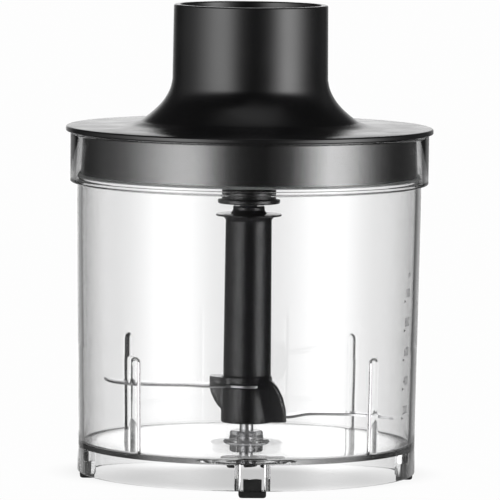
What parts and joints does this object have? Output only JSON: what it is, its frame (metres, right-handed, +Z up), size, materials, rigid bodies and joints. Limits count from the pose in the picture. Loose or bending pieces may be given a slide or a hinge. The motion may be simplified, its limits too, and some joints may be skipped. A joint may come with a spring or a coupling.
{
  "type": "food processor bowl attachment",
  "caption": "Clear processor bowl with a black drive lid and a sickle-blade knife on a stem, driven through a planetary reduction by a stick blender's motor handle.",
  "frame": {"origin": "centre of the bowl on the plane the feet stand on", "axes": "+Z up along the knife axis, -Y is the front; the feet stand at -Y, +X, +Y and -X"},
  "size_m": [0.1592, 0.1592, 0.206],
  "materials": {
    "clear_plastic": "polished clear plastic",
    "satin_black": "fine satin moulding",
    "gloss_black": "polished black moulding",
    "knife_black": "smooth semi-matte moulding",
    "foot_rubber": "matte black rubber",
    "seal_silicone": "translucent silicone",
    "seal_black": "matte black nitrile",
    "blade_steel": "ground stainless",
    "pin_steel": "fine turned stainless",
    "drive_steel": "turned steel",
    "screw_steel": "zinc plated",
    "bush_bronze": "sintered bronze",
    "gear_nylon": "natural nylon",
    "case_grey": "glass-filled grey nylon"
  },
  "bodies": {
    "bowl": {"bowl": "clear_plastic", "bowl_floor": "clear_plastic", "spindle_pin": "pin_steel", "foot_front": "foot_rubber", "foot_right": "foot_rubber", "foot_back": "foot_rubber", "foot_left": "foot_rubber"},
    "blade": {"blade_stem": "knife_black", "blade_hub": "knife_black", "upper_blade": "blade_steel", "lower_blade": "blade_steel", "drive_head": "drive_steel", "stem_bush_upper": "bush_bronze", "stem_bush_lower": "bush_bronze"},
    "lid": {"lid_shell": "satin_black", "lid_collar": "satin_black", "lid_base": "gloss_black", "lid_seal": "seal_silicone", "boss_ring": "satin_black", "output_bush": "bush_bronze", "output_seal": "seal_black", "ring_gear": "gear_nylon", "gearbox_cover": "case_grey", "input_bush": "bush_bronze", "input_seal": "seal_black", "gearbox_screws": "screw_steel", "lid_screws": "screw_steel"},
    "input": {"input_shaft": "drive_steel", "sun_gear": "drive_steel", "input_clip": "screw_steel", "input_coupling": "case_grey"},
    "carrier": {"planet_carrier": "case_grey", "carrier_plate": "drive_steel", "planet_pins": "drive_steel"},
    "planet_1": {"planet_gear_1": "gear_nylon"},
    "planet_2": {"planet_gear_2": "gear_nylon"},
    "planet_3": {"planet_gear_3": "gear_nylon"}
  },
  "joints": [
    {"name": "blade_spin", "type": "hinge", "parent": "bowl", "child": "blade", "pos_m": [0, 0, 0.061], "axis": [0, 0, 1], "continuous": true},
    {"name": "lid_lift", "type": "slide", "parent": "bowl", "child": "lid", "axis": [0, 0, 1], "range_m": [0, 0.15]},
    {"name": "carrier_spin", "type": "hinge", "parent": "lid", "child": "carrier", "pos_m": [0, 0, 0.14], "axis": [0, 0, 1], "continuous": true},
    {"name": "input_spin", "type": "hinge", "parent": "lid", "child": "input", "pos_m": [0, 0, 0.16], "axis": [0, 0, 1], "continuous": true},
    {"name": "planet_1_spin", "type": "hinge", "parent": "carrier", "child": "planet_1", "pos_m": [0, 0.015, 0.1464], "axis": [0, 0, 1], "continuous": true},
    {"name": "planet_2_spin", "type": "hinge", "parent": "carrier", "child": "planet_2", "pos_m": [-0.01299, -0.0075, 0.1464], "axis": [0, 0, 1], "continuous": true},
    {"name": "planet_3_spin", "type": "hinge", "parent": "carrier", "child": "planet_3", "pos_m": [0.01299, -0.0075, 0.1464], "axis": [0, 0, 1], "continuous": true}
  ],
  "couplings": [
    {"joint": "carrier_spin", "follows": "blade_spin", "ratio": 1},
    {"joint": "input_spin", "follows": "blade_spin", "ratio": 5},
    {"joint": "planet_1_spin", "follows": "blade_spin", "ratio": -2.6667},
    {"joint": "planet_2_spin", "follows": "blade_spin", "ratio": -2.6667},
    {"joint": "planet_3_spin", "follows": "blade_spin", "ratio": -2.6667}
  ]
}
